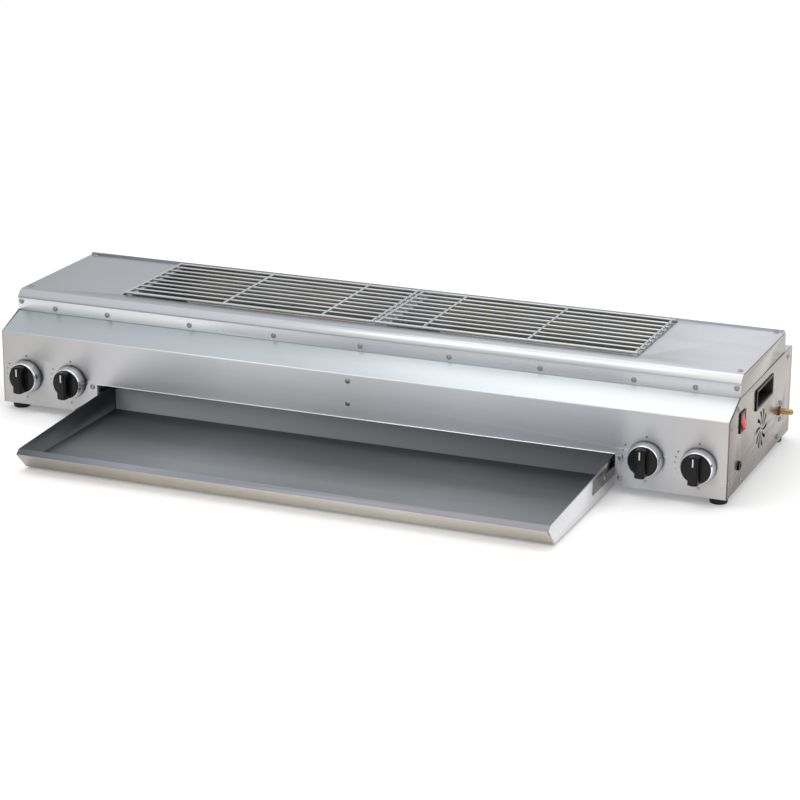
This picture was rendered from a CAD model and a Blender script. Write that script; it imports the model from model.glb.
import logging
import math
from collections.abc import Callable, Sequence
from dataclasses import dataclass
from enum import Enum

import bmesh
import bpy
from mathutils import Matrix, Vector


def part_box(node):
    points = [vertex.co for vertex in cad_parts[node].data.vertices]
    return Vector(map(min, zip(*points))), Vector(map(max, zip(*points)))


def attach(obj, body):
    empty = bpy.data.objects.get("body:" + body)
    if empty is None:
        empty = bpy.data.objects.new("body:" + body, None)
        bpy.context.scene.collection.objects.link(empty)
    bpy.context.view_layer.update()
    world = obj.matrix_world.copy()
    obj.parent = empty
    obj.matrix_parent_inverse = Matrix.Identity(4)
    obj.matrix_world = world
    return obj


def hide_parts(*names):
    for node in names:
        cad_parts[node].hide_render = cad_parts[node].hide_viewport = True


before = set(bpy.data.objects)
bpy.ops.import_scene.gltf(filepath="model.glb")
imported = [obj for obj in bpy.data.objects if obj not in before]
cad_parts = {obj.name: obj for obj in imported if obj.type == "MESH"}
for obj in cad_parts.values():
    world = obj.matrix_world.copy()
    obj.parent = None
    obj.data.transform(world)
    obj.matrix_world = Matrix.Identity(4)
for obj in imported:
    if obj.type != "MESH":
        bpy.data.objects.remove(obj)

LOG = logging.getLogger("gas_grill")
MM = 0.001
WHITE = (1.0, 1.0, 1.0, 1.0)
NOISE_SPAN = (0.3, 0.7)  # most values of a noise lie between these
SAME_POINT = 2e-6  # vertices nearer than this are one
FLAT = math.radians(0.6)  # faces that meet at less are one flat face
SHARP = math.radians(28)  # edges that bend by more are rounded
ON_FOLD = 0.2 * MM  # an edge this near a fold's place lies on it
HALF_SIDE = 0.45  # most of a side that one rounded corner may take
BALL_SPLITS = 2  # subdivisions of the small balls that stand for weld beads
CORD_SIDES = 10  # facets round a thin cord

Point = tuple[float, float, float]
Pair = tuple[float, float]
Section = Sequence[Pair]
Run = Sequence[Point]
Stops = tuple[tuple[float, str], ...]
Facing = tuple[Point, float, str]
Aimed = tuple[Point, Sequence[Point]]
Mesh = bpy.types.Mesh
Material = bpy.types.Material
Node = bpy.types.Node
Object = bpy.types.Object
Socket = bpy.types.NodeSocket


class Axis(Enum):
    """Direction of a grain or of a turned part."""

    X = 0
    Y = 1
    Z = 2

    def unit(self) -> Vector:
        """Unit vector along the axis."""
        return Vector([float(axis is self) for axis in Axis])


def metres(rows: Sequence[Sequence[float]]) -> list[tuple[float, ...]]:
    """Rows of millimetres as rows of metres."""
    return [tuple(value * MM for value in row) for row in rows]


def linear(code: str) -> tuple[float, float, float, float]:
    """Turn an sRGB hex colour into linear red, green, blue and alpha.

    Args:
        code: Six hex digits with a leading hash.

    Returns:
        Linear components with alpha 1.
    """
    parts = [int(code[i : i + 2], 16) / 255 for i in (1, 3, 5)]
    lin = [c / 12.92 if c <= 0.04045 else ((c + 0.055) / 1.055) ** 2.4 for c in parts]
    return lin[0], lin[1], lin[2], 1.0


def set_ramp(node: Node, stops: Stops) -> None:
    """Fill a colour ramp.

    Args:
        node: Colour ramp node.
        stops: Places from 0 to 1 with their sRGB hex colours.
    """
    elements = node.color_ramp.elements
    while len(elements) < len(stops):
        elements.new(0.5)
    for element, (place, code) in zip(elements, stops):
        element.position = place
        element.color = linear(code)


def add_node(tree: bpy.types.NodeTree, kind: str, settings: dict | None = None) -> Node:
    """Add a node with its settings and links.

    Args:
        tree: Node tree that gets the node.
        kind: Blender's type name of the node.
        settings: Properties by their lower-case names, the stops of a ramp, and inputs by
            their names or indices, each with its value or the outputs that feed it.

    Returns:
        The new node.
    """
    node = tree.nodes.new(kind)
    for key, value in (settings or {}).items():
        if key == "stops":
            set_ramp(node, value)
        elif isinstance(key, str) and key[0].islower():
            setattr(node, key, value)
        else:
            for item in value if isinstance(value, list) else [value]:
                if isinstance(item, Socket):
                    tree.links.new(item, node.inputs[key])
                else:
                    node.inputs[key].default_value = item
    return node


def ends(old: Pair, new: Pair) -> dict[str, float]:
    """Settings that map one range onto another."""
    return dict(zip(("From Min", "From Max", "To Min", "To Max"), (*old, *new)))


class Graph:
    """A node tree in the making."""

    def __init__(self, tree: bpy.types.NodeTree) -> None:
        """Keep the tree and empty it."""
        self.tree = tree
        tree.nodes.clear()

    def add(self, kind: str, settings: dict | None = None, out: str | int = 0) -> Socket:
        """Add a node, as add_node does, and return one of its outputs."""
        return add_node(self.tree, kind, settings).outputs[out]


class Look(Graph):
    """A material in the making: its node tree, its shader and the patterns on it."""

    def __init__(self, name: str, metallic: float) -> None:
        """Start a material with its shader linked to the output.

        Args:
            name: Name of the material.
            metallic: 1 for a bare metal, 0 for anything else.
        """
        self.material = bpy.data.materials.new(name)
        self.material.use_nodes = True
        super().__init__(self.material.node_tree)
        self.shader = add_node(self.tree, "ShaderNodeBsdfPrincipled", {"Metallic": metallic})
        add_node(self.tree, "ShaderNodeOutputMaterial", {"Surface": self.shader.outputs[0]})

    def put(self, values: dict[str, float]) -> None:
        """Set plain values of the shader's inputs."""
        for label, value in values.items():
            self.shader.inputs[label].default_value = value

    def cells(self, size: Point, turn: Point = (0.0, 0.0, 0.0)) -> Socket:
        """Object coordinates divided by a size, so one unit is one cell of a pattern.

        Args:
            size: Cell size along X, Y and Z in metres.
            turn: Rotation in radians that the pattern lies at.

        Returns:
            The vector socket.
        """
        place = self.add("ShaderNodeTexCoord", out="Object")
        scale = tuple(1 / s for s in size)
        return self.add("ShaderNodeMapping", {"Scale": scale, "Rotation": turn, "Vector": place})

    def speckle(self, size: Point, detail: float = 3.0) -> Socket:
        """Irregular pattern with cells of a size in metres and a number of octaves."""
        settings = {"Scale": 1.0, "Detail": detail, "Vector": self.cells(size)}
        return self.add("ShaderNodeTexNoise", settings)

    def shaded(
        self, colour: Socket, pattern: Socket, shares: Pair, span: Pair = NOISE_SPAN
    ) -> Socket:
        """Darken and lighten a colour by a pattern.

        Args:
            colour: Colour socket.
            pattern: Value socket of the pattern.
            shares: Shares of the colour at the start and the end of the pattern's span.
            span: Values of the pattern between which it changes the colour.

        Returns:
            The colour socket.
        """
        grey = self.add("ShaderNodeMapRange", {**ends(span, shares), "Value": pattern})
        settings = {"data_type": "RGBA", "blend_type": "MULTIPLY", 0: 1.0, 6: colour, 7: grey}
        return self.add("ShaderNodeMix", settings, 2)

    def surface(
        self, colour: Socket, rough: Sequence[tuple[Socket, Pair]], height: Socket, bump: float
    ) -> None:
        """Give the shader its colour, its roughness and the relief of its pattern.

        Args:
            colour: Colour socket.
            rough: Patterns of the roughness with their lowest and highest values, added up.
            height: Value socket of the relief, 0 to 1.
            bump: Height of the relief in metres.
        """
        total: float | Socket = 0.0
        for pattern, values in rough:
            part = self.add("ShaderNodeMapRange", {**ends(NOISE_SPAN, values), "Value": pattern})
            total = self.add("ShaderNodeMath", {"operation": "ADD", 0: part, 1: total})
        relief = self.add("ShaderNodeBump", {"Strength": 1.0, "Distance": bump, "Height": height})
        for label, socket in (("Base Color", colour), ("Roughness", total), ("Normal", relief)):
            self.tree.links.new(socket, self.shader.inputs[label])


@dataclass(frozen=True)
class Finish:
    """Base of all finishes, a plain surface with a fine grain.

    Attributes:
        name: Material name, the real material and how it was made.
        colour: Main sRGB hex colour.
        roughness: Middle of the roughness.
        metallic: 1 for a bare metal, 0 for anything else.
        grain: Size of the finest pattern in metres.
        bump: Height of the surface pattern in metres.
        mottle: Least and greatest share of the colour in broad patches.
        patch: Size of those patches in grains.
        uneven: Share by which the roughness varies each way.
    """

    name: str
    colour: str
    roughness: float = 0.4
    metallic: float = 0.0
    grain: float = 0.002
    bump: float = 0.00002
    mottle: Pair = (0.9, 1.08)
    patch: float = 30.0
    uneven: float = 0.15

    def build(self) -> Material:
        """Make the material.

        Returns:
            The new material.
        """
        look = Look(self.name, self.metallic)
        self.paint(look)
        return look.material

    def paint(self, look: Look) -> None:
        """Put the fine grain into colour, roughness and relief.

        Args:
            look: Material in the making.
        """
        fine = look.speckle((self.grain,) * 3)
        broad = look.speckle((self.grain * self.patch,) * 3, 1.0)
        base = look.add("ShaderNodeRGB")
        base.default_value = linear(self.colour)
        low, high = self.roughness * (1 - self.uneven), self.roughness * (1 + self.uneven)
        rough = ((fine, (low, min(1.0, high))),)
        look.surface(look.shaded(base, broad, self.mottle), rough, fine, self.bump)


@dataclass(frozen=True)
class BrushedSteel(Finish):
    """Stainless steel sheet, brushed with a belt: long fine lines along one axis.

    Attributes:
        line: Length of a brush line in metres.
        along: Axis that the lines follow.
        stretch: How far a reflection is drawn out across the lines, 0 to 1.
        tones: Places along the casing's length, 0 to 1, with the sheet's colour there.
        tone_axis: Axis along which the tones lie.
        tone_span: First and last place of the tones on that axis, in metres.
        contrast: Share by which the lines lighten and darken the colour.
        fade_span: Places along Y between which the sheet changes from dull to clean.
        fade: Shares of the colour before and after that change.
        smudge: Width and length in metres of the smudges left by hands.
        handled: Least and greatest share of the colour in the smudges.
        matt: Least and greatest change of the roughness in the smudges.
        line_rough: Change of the roughness from line to line.
        across: Turn of the reflection's stretch, a quarter for one across the lines.
    """

    metallic: float = 1.0
    roughness: float = 0.3
    # Belt lines are 0.05 mm apart, which no picture shows, so they are drawn 1.2 mm apart
    grain: float = 0.0012
    bump: float = 0.0000015
    line: float = 0.14
    along: Axis = Axis.X
    stretch: float = 0.75
    tones: Stops = ()
    tone_axis: Axis = Axis.X
    tone_span: Pair = (-0.6, 0.6)
    contrast: float = 0.018
    fade_span: Pair = (0.0, 1.0)
    fade: Pair = (1.0, 1.0)
    smudge: Pair = (0.05, 0.35)
    handled: Pair = (0.96, 1.03)
    matt: Pair = (-0.02, 0.03)
    line_rough: float = 0.03
    across: float = 0.25

    def cell(self, width: float, length: float) -> Point:
        """Size of a pattern cell that lies along the lines."""
        return tuple(length if axis is self.along else width for axis in Axis)

    def paint(self, look: Look) -> None:
        """Put in the lines, the smudges of handling and a slow change of tone.

        Args:
            look: Material in the making.
        """
        streak = look.speckle(self.cell(self.grain, self.line), 4.0)
        cloud = look.speckle(self.cell(*self.smudge), 2.0)
        spot = look.add("ShaderNodeTexCoord", out="Object")
        place = add_node(look.tree, "ShaderNodeSeparateXYZ", {0: spot}).outputs
        span = {**ends(self.tone_span, (0.0, 1.0)), "Value": place[self.tone_axis.value]}
        share = look.add("ShaderNodeMapRange", span)
        stops = self.tones or ((0.0, self.colour), (1.0, self.colour))
        colour = look.add("ShaderNodeValToRGB", {"stops": stops, 0: share})
        colour = look.shaded(colour, streak, (1 - self.contrast, 1 + self.contrast))
        colour = look.shaded(colour, place[Axis.Y.value], self.fade, self.fade_span)
        colour = look.shaded(colour, cloud, self.handled)
        lines = (self.roughness - self.line_rough, self.roughness + self.line_rough)
        look.surface(colour, ((streak, lines), (cloud, self.matt)), streak, self.bump)
        grain = look.add("ShaderNodeCombineXYZ", {self.along.value: 1.0})
        look.tree.links.new(grain, look.shader.inputs["Tangent"])
        look.put({"Anisotropic": self.stretch, "Anisotropic Rotation": self.across})


@dataclass(frozen=True)
class HeatedSteel(Finish):
    """Plain steel sheet that has been hot: dull, with straw and blue heat tint in clouds.

    Attributes:
        straw: Colour where it got less hot.
        blue: Colour where it got hotter.
        places: Noise values of blue, plain and straw.
        cloud: Size of the clouds in metres.
        soot: Least and greatest share of the colour in the grain.
        dull: Least and greatest change of the roughness in the clouds.
    """

    metallic: float = 1.0
    roughness: float = 0.45
    straw: str = "#8A7A60"
    blue: str = "#5E6470"
    places: Point = (0.3, 0.5, 0.72)
    cloud: Point = (0.07, 0.05, 0.05)
    soot: Pair = (0.92, 1.06)
    dull: Pair = (-0.1, 0.12)

    def paint(self, look: Look) -> None:
        """Put the clouds of heat tint over a fine grain.

        Args:
            look: Material in the making.
        """
        cloud = look.speckle(self.cloud)
        stops = tuple(zip(self.places, (self.blue, self.colour, self.straw)))
        tint = look.add("ShaderNodeValToRGB", {"stops": stops, 0: cloud})
        fine = look.speckle((self.grain,) * 3)
        low, high = (self.roughness + change for change in self.dull)
        look.surface(look.shaded(tint, fine, self.soot), ((cloud, (low, high)),), fine, self.bump)


@dataclass(frozen=True)
class PressedCeramic(Finish):
    """Pressed cordierite burner tile: matt and pale, with rows of fine gas holes.

    Attributes:
        lean: Angle in degrees at which the tile's face leans.
        pitch: Spacing of the holes in metres.
        hole: Colour of the holes.
        rim: Squared distances from a hole's middle, in pitches, between which it ends.
        dust: Least and greatest share of the colour in the grain.
    """

    roughness: float = 0.9
    grain: float = 0.0012
    lean: float = 25.0
    # Real holes are 1.1 mm wide and 1.9 mm apart; drawn at 3 mm so that they show
    pitch: float = 0.003
    hole: str = "#3A2F24"
    rim: Pair = (0.05, 0.1)
    dust: Pair = (0.93, 1.05)

    def paint(self, look: Look) -> None:
        """Put a square grid of dark dots on the leaning face.

        Args:
            look: Material in the making.
        """
        turn = (math.radians(self.lean), 0.0, 0.0)
        place = look.cells((self.pitch,) * 3, turn)
        parts = add_node(look.tree, "ShaderNodeSeparateXYZ", {0: place}).outputs
        squares = []
        for part in (parts[0], parts[2]):
            off = look.add("ShaderNodeMath", {"operation": "PINGPONG", 0: part, 1: 0.5})
            squares.append(look.add("ShaderNodeMath", {"operation": "POWER", 0: off, 1: 2.0}))
        off = look.add("ShaderNodeMath", {"operation": "ADD", 0: squares[0], 1: squares[1]})
        stops = tuple(zip(self.rim, (self.hole, self.colour)))
        dots = look.add("ShaderNodeValToRGB", {"stops": stops, 0: off})
        fine = look.speckle((self.grain,) * 3)
        rough = ((fine, (self.roughness, self.roughness)),)
        look.surface(look.shaded(dots, fine, self.dust), rough, off, self.bump)


@dataclass(frozen=True)
class GlossyPlastic(Finish):
    """Injection-moulded plastic: near-smooth skin with a light orange-peel wave.

    Attributes:
        glow: Share of light that the plastic lets through, as in a lit rocker.
        depth: How far that light goes in metres.
        sheen: Level of the reflection, 0.5 for a full one and less over a fine eroded grain.
        ior: Index of refraction.
    """

    roughness: float = 0.25
    bump: float = 0.00001
    glow: float = 0.0
    depth: float = 0.002
    sheen: float = 0.5
    ior: float = 1.5

    def paint(self, look: Look) -> None:
        """Put in the grain, then let some light into the plastic.

        Args:
            look: Material in the making.
        """
        super().paint(look)
        look.put({"IOR": self.ior, "Specular IOR Level": self.sheen})
        look.put({"Subsurface Weight": self.glow, "Subsurface Scale": self.depth})


# Places of seven tones along the casing
SEVEN = (0.0, 0.17, 0.33, 0.5, 0.67, 0.83, 1.0)


@dataclass(frozen=True)
class Finishes:
    """All finishes of the grill."""

    # Brushed 0.5 to 1.2 mm stainless steel: cool grey above, bright where it slopes to the light
    cover: BrushedSteel = BrushedSteel(
        "brushed_stainless_cover", "#C2C6CC",
        tones=((0.0, "#A1A4A9"), (0.45, "#B0B3B8"), (0.8, "#C4C7CC"), (1.0, "#CBCDD2")),
    )
    panel: BrushedSteel = BrushedSteel(
        "brushed_stainless_front", "#BDBEC0", roughness=0.42, stretch=0.9,
        tones=(
            (0.0, "#C1C0BE"), (0.17, "#D4D4D6"), (0.33, "#EDF0F2"), (0.5, "#DCDEE1"),
            (0.67, "#DDE0E5"), (0.83, "#D1D5DB"), (0.93, "#C8C7C8"), (1.0, "#D2CECD"),
        ),
    )
    # The same sheet where it slopes, with lighter and lighter wear towards the right
    slope: BrushedSteel = BrushedSteel(
        "brushed_stainless_slope", "#BDBEC0", roughness=0.34, stretch=0.8,
        tones=tuple(zip(SEVEN, (
            "#AFB8BB", "#B9BEC6", "#C3CACD", "#C3C8CC", "#C6CBD0", "#D4D8DB", "#DFE1E2",
        ))),
    )
    # The upright band under the cover, the same sheet
    band: BrushedSteel = BrushedSteel(
        "brushed_stainless_band", "#C2C6CC",
        tones=tuple(zip(SEVEN, (
            "#E0E1E1", "#EBEEEF", "#ECEEF1", "#CACCD1", "#D3D6D9", "#CDCED2", "#D4D4D6",
        ))),
    )
    # The rounded fold between cover and band, rubbed bright
    fold: BrushedSteel = BrushedSteel(
        "brushed_stainless_fold", "#C2C6CC",
        tones=((0.0, "#B9BABF"), (0.33, "#C9CDD1"), (0.83, "#C6C9C9"), (1.0, "#E6E7E6")),
    )
    # End panels, brushed from front to back: turned from the light, so darker and warmer
    end: BrushedSteel = BrushedSteel(
        "brushed_stainless_end", "#CFC9C4", roughness=0.26, along=Axis.Y,
        tone_axis=Axis.Z, tone_span=(0.0, 0.19),
        tones=((0.0, "#746C67"), (0.35, "#8A827D"), (0.7, "#989189"), (1.0, "#A19C97")),
    )
    # Same sheet, worn satin by wiping, so it is darker and softer
    tray: BrushedSteel = BrushedSteel(
        "brushed_stainless_tray", "#96999C", roughness=0.45, stretch=0.85, contrast=0.03,
        fade_span=(-0.25, -0.33), fade=(0.68, 1.08),
        tones=(
            (0.15, "#6C6F72"), (0.33, "#8D9195"), (0.5, "#84888B"), (0.67, "#8A8D90"),
            (0.83, "#7C7E81"), (1.0, "#7C7E81"),
        ),
    )
    # Folded lip of the tray, rubbed smooth where hands pull it
    lip: BrushedSteel = BrushedSteel(
        "brushed_stainless_lip", "#8C8D96", roughness=0.34,
        tones=(
            (0.14, "#595A60"), (0.3, "#989CA5"), (0.5, "#8A8B92"), (0.7, "#7E7D82"),
            (1.0, "#7E7D82"),
        ),
    )
    # Rear wall of the tray, brighter at the left where the light reaches under the panel
    tray_back: BrushedSteel = BrushedSteel(
        "brushed_stainless_tray_back", "#B4B8BB", roughness=0.45,
        tones=((0.15, "#D2D6D8"), (0.5, "#B7B7BC"), (0.85, "#8F9296")),
    )
    # Side walls of the tray, pale because they face the light
    tray_side: BrushedSteel = BrushedSteel(
        "brushed_stainless_tray_side", "#E2E2E4", roughness=0.4, along=Axis.Y
    )
    # Front of the tray: it slopes down, so it is warmer, and darker to the left
    fascia: BrushedSteel = BrushedSteel(
        "brushed_stainless_fascia", "#D8CDC0", roughness=0.32,
        tones=(
            (0.0, "#A8A09A"), (0.17, "#ADA69F"), (0.33, "#CAC4B8"), (0.67, "#DED9D1"),
            (1.0, "#C6BEB0"),
        ),
    )
    # Cold-rolled sheet as it comes from the mill, for what is hardly seen
    inner: BrushedSteel = BrushedSteel(
        "mill_finish_steel_sheet", "#8E9093", roughness=0.42, contrast=0.05, line=0.05
    )
    # Sheet beside the flame: matt, with straw and blue clouds
    heated: HeatedSteel = HeatedSteel(
        "heat_dulled_steel_sheet", "#96938E", roughness=0.5, straw="#93866F", blue="#7C8087"
    )
    # Cast and stamped burner body: darkened by the flame
    burner: HeatedSteel = HeatedSteel(
        "burnt_steel_casting", "#6E6C69", roughness=0.55, straw="#6F6455", blue="#4C5058"
    )
    # Expanded steel mesh, pale and dusty from heat
    mesh: HeatedSteel = HeatedSteel(
        "expanded_steel_mesh", "#EDE7DD", roughness=0.7, metallic=0.0,
        straw="#E6D8BE", blue="#D5D6D9",
    )
    # Ground bead: satin, with the brown of the weld beside it
    weld: HeatedSteel = HeatedSteel(
        "ground_weld_bead", "#6B5848", roughness=0.4, straw="#72502F", blue="#565158"
    )
    # Burner tiles: tan and matt, with rows of fine holes
    ceramic_front: PressedCeramic = PressedCeramic("pressed_ceramic_front", "#A29378", lean=-25.0)
    ceramic_rear: PressedCeramic = PressedCeramic("pressed_ceramic_rear", "#A29378", lean=25.0)
    # Chrome-plated drawn wire: bright, faint drawing marks
    wire: Finish = Finish(
        "chrome_plated_wire", "#BFC1C3", roughness=0.34, metallic=1.0, grain=0.004, bump=0.00001
    )
    # Chrome plate on a pressed bezel, thin and smoky where it meets the panel
    chrome: BrushedSteel = BrushedSteel(
        "polished_chrome", "#E2E4E8", roughness=0.09, stretch=0.0, bump=0.0000001,
        contrast=0.004, tone_axis=Axis.Y, tone_span=(-0.178, -0.1955),
        tones=(
            (0.0, "#26272B"), (0.16, "#4A4C52"), (0.38, "#A9ACB3"), (0.6, "#DADDE2"),
            (1.0, "#E8EAEE"),
        ),
    )
    # Sheet edge folded over and polished by the folding tool
    edge: Finish = Finish(
        "polished_sheet_edge", "#E8EAEC", roughness=0.2, metallic=1.0, grain=0.01, bump=0.0000005
    )
    # Open joint between two sheets, and the bottom of a screw's recess: no light comes back
    joint: Finish = Finish("shadowed_open_joint", "#1C1B1B", roughness=0.9, grain=0.003)
    # Nickel plate on rolled screws: warm grey with sharp highlights
    screw: Finish = Finish(
        "nickel_plated_steel", "#9C9A9A", roughness=0.24, metallic=1.0, bump=0.00001
    )
    # Brass from the lathe: yellow, with fine turning marks
    brass: Finish = Finish(
        "turned_brass", "#B89A62", roughness=0.22, metallic=1.0, grain=0.0015, bump=0.000004
    )
    # Aluminium pipe drawn through a die: pale and satin
    pipe: Finish = Finish(
        "drawn_aluminium_pipe", "#B9BBBD", roughness=0.32, metallic=1.0, grain=0.003, bump=0.00001
    )
    # Nylon with a fine spark-eroded grain: black with a soft sheen
    knob: GlossyPlastic = GlossyPlastic(
        "moulded_black_nylon", "#09090B", roughness=0.26, grain=0.0007, bump=0.00003, sheen=0.28
    )
    # ABS from a textured mould: black and dull
    plastic: GlossyPlastic = GlossyPlastic(
        "moulded_black_abs", "#0D0D0F", roughness=0.42, grain=0.0009, bump=0.00002, sheen=0.3
    )
    # Polycarbonate from a polished mould, lit a little from within: bright red
    red: GlossyPlastic = GlossyPlastic(
        "moulded_red_polycarbonate", "#D6120D", roughness=0.22, grain=0.004, glow=0.05,
        sheen=0.15,
    )
    # Moulded rubber: black, without gloss
    rubber: Finish = Finish(
        "moulded_black_rubber", "#161616", roughness=0.75, grain=0.0008, bump=0.00004
    )
    # Pad-printed ink for the dial marks, and the white fill of the pointer groove
    ink: Finish = Finish("printed_grey_ink", "#4A4A4C", roughness=0.6, grain=0.0005)
    white_ink: Finish = Finish("filled_white_paint", "#E8E8E6", roughness=0.5, grain=0.0005)


def linked(name: str, data: bpy.types.ID) -> Object:
    """Make an object and link it to the scene.

    Args:
        name: Name of the object.
        data: Mesh, lamp or camera that it shows.

    Returns:
        The new object.
    """
    thing = bpy.data.objects.new(name, data)
    bpy.context.scene.collection.objects.link(thing)
    return thing


def poured(work: bmesh.types.BMesh, name: str) -> Mesh:
    """Put a bmesh into a new mesh and free it.

    Args:
        work: Filled bmesh.
        name: Name of the mesh.

    Returns:
        The new mesh.
    """
    mesh = bpy.data.meshes.new(name)
    work.to_mesh(mesh)
    work.free()
    return mesh


def staged(name: str, corners: Run, material: Material) -> Object:
    """Make a flat sheet of the stage, such as the floor or a card.

    Args:
        name: Name of the sheet.
        corners: Its four corners in their order.
        material: Its material.

    Returns:
        The new object.
    """
    mesh = bpy.data.meshes.new(name)
    mesh.from_pydata(corners, [], [(0, 1, 2, 3)])
    mesh.materials.append(material)
    sheet = linked(name, mesh)
    return sheet


def applied(mesh: Mesh, put: Callable[[Object], None]) -> Mesh:
    """Run modifiers on a mesh and return the plain result.

    Args:
        mesh: Mesh to start from.
        put: Function that adds the modifiers to an object of the mesh.

    Returns:
        A new mesh with the modifiers applied.
    """
    worker = linked("worker", mesh)
    put(worker)
    graph = bpy.context.evaluated_depsgraph_get()
    result = bpy.data.meshes.new_from_object(worker.evaluated_get(graph))
    bpy.data.objects.remove(worker)
    return result


@dataclass(frozen=True)
class Rounding:
    """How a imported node's sharp edges are rounded, as bent or moulded ones are.

    Attributes:
        width: Radius of the plain edges in millimetres.
        folds: (Y, Z) places in millimetres of edges along X that are bent to a larger radius.
        fold_width: Radius of those bends in millimetres.
        segments: Facets across a rounded edge.
        dissolve: Join flat triangles first; off where a flat face has many holes.
    """

    width: float
    folds: Section = ()
    fold_width: float = 0.0
    segments: int = 2
    dissolve: bool = True

    def weigh(self, work: bmesh.types.BMesh) -> None:
        """Give each sharp edge its radius as a share of the largest one.

        Args:
            work: Bmesh of the node.
        """
        weight = work.edges.layers.float.new("bevel_weight_edge")
        folds = metres(self.folds)
        for edge in work.edges:
            if len(edge.link_faces) != 2 or edge.calc_face_angle(0.0) < SHARP:
                continue
            on_fold = any(
                all(abs(v.co.y - y) < ON_FOLD and abs(v.co.z - z) < ON_FOLD for v in edge.verts)
                for y, z in folds
            )
            radius = self.fold_width if on_fold else self.width
            edge[weight] = radius / max(self.width, self.fold_width)

    def put(self, worker: Object) -> None:
        """Add the weighted bevel.

        Args:
            worker: Object that gets the modifier.
        """
        bevel = worker.modifiers.new("soft_edges", "BEVEL")
        bevel.limit_method = "WEIGHT"
        bevel.width = max(self.width, self.fold_width) * MM
        bevel.segments = self.segments
        bevel.use_clamp_overlap = True

    def of(self, node: str) -> Mesh:
        """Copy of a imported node's mesh with its edges rounded.

        Args:
            node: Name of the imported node.

        Returns:
            The new mesh.
        """
        work = bmesh.new()
        work.from_mesh(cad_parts[node].data)
        bmesh.ops.remove_doubles(work, verts=work.verts, dist=SAME_POINT)
        if self.dissolve:
            bmesh.ops.dissolve_limit(work, angle_limit=FLAT, verts=work.verts, edges=work.edges)
        self.weigh(work)
        return applied(poured(work, node), self.put)


@dataclass(frozen=True)
class Part:
    """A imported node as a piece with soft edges.

    Attributes:
        name: Name of the piece.
        node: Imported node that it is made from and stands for.
        finish: Field name in Finishes.
        slot: Material slot of the record.
        soft: How its edges are rounded.
        body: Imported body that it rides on.
        smooth: Angle in degrees under which edges are shaded smooth.
        facings: Finishes of faces by their direction, as for Shop.finish_piece.
    """

    name: str
    node: str
    finish: str
    slot: str
    soft: Rounding
    body: str = "casing"
    smooth: float = 35.0
    facings: Sequence[Facing] = ()


class Shop:
    """Makes pieces: holds the finished materials and the calls to the frame."""

    def __init__(self, finishes: Finishes) -> None:
        """Keep the finishes; each is made a material when it is first used."""
        self.finishes = finishes
        self.made: dict[str, Material] = {}

    def material(self, name: str) -> Material:
        """Material of a finish, made once.

        Args:
            name: Field name in Finishes.

        Returns:
            The material.
        """
        if name not in self.made:
            self.made[name] = getattr(self.finishes, name).build()
        return self.made[name]

    def wear(self, mesh: Mesh, finish: str) -> None:
        """Make a finish the only material of a mesh."""
        mesh.materials.clear()
        mesh.materials.append(self.material(finish))

    def dress(self, nodes: Sequence[str], finish: str) -> None:
        """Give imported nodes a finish.

        Args:
            nodes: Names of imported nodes.
            finish: Field name in Finishes.
        """
        for node in nodes:
            self.wear(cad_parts[node].data, finish)
            LOG.info("dressed %s in %s", node, finish)

    def finish_piece(
        self,
        name: str,
        mesh: Mesh,
        body: str,
        finish: str,
        replaced: Sequence[str] = (),
        slot: str | None = None,
        smooth: float = 35.0,
        facings: Sequence[Facing] = (),
    ) -> Object:
        """Turn a mesh into a piece of the grill.

        Args:
            name: Name of the piece.
            mesh: Its mesh, in place.
            body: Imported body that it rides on.
            finish: Field name in Finishes.
            replaced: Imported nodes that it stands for.
            slot: Material slot of the record.
            smooth: Angle in degrees under which edges are shaded smooth.
            facings: Direction, least cosine to it and finish of the faces that look that way
                and lie on that side of the grill's origin.

        Returns:
            The new object.
        """
        mesh.name = name
        self.wear(mesh, finish)
        for index, (way, least, other) in enumerate(facings, 1):
            mesh.materials.append(self.material(other))
            for face in mesh.polygons:
                if face.normal.dot(Vector(way)) >= least and face.center.dot(Vector(way)) > 0:
                    face.material_index = index
        mesh.shade_smooth()
        mesh.set_sharp_from_angle(angle=math.radians(smooth))
        piece = linked(name, mesh)
        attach(piece, body)
        if replaced:
            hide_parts(*replaced)
        LOG.info("%s: %d faces on %s", name, len(mesh.polygons), body)
        return piece

    def soften(self, *parts: Part) -> list[Object]:
        """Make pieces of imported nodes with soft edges.

        Args:
            parts: What each piece is made from.

        Returns:
            The new objects.
        """
        return [
            self.finish_piece(
                p.name, p.soft.of(p.node), p.body, p.finish, (p.node,), p.slot, p.smooth,
                p.facings,
            )
            for p in parts
        ]


def lathe(section: Section, axis: Axis, centre: Point, steps: int) -> Mesh:
    """Turn a section round an axis to a closed mesh.

    Args:
        section: Radius and place along the axis, going round the section once; a first and
            last radius of zero close the ends on the axis.
        axis: Axis of the part.
        centre: Point on the axis that the places are measured from.
        steps: Facets round the part.

    Returns:
        The new mesh.
    """
    work = bmesh.new()
    a = axis.unit()
    u = Vector((1, 0, 0)) if axis is Axis.Z else Vector((0, 0, 1))
    v = a.cross(u)
    turns = [2 * math.pi * i / steps for i in range(steps)]
    rings = []
    for radius, along in section:
        rim = [(u * math.cos(t) + v * math.sin(t)) * radius for t in turns]
        middle = Vector(centre) + a * along
        rings.append([work.verts.new(middle + r) for r in (rim if radius else [Vector()])])
    closing = rings[:1] if len(rings[0]) > 1 else []
    for first, second in zip(rings, rings[1:] + closing):
        for i in range(steps):
            pairs = ((first, i), (second, i), (second, i + 1), (first, i + 1))
            corners = [ring[at % len(ring)] for ring, at in pairs]
            work.faces.new(list(dict.fromkeys(corners)))
    bmesh.ops.recalc_face_normals(work, faces=work.faces)
    return poured(work, "lathe")


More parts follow.
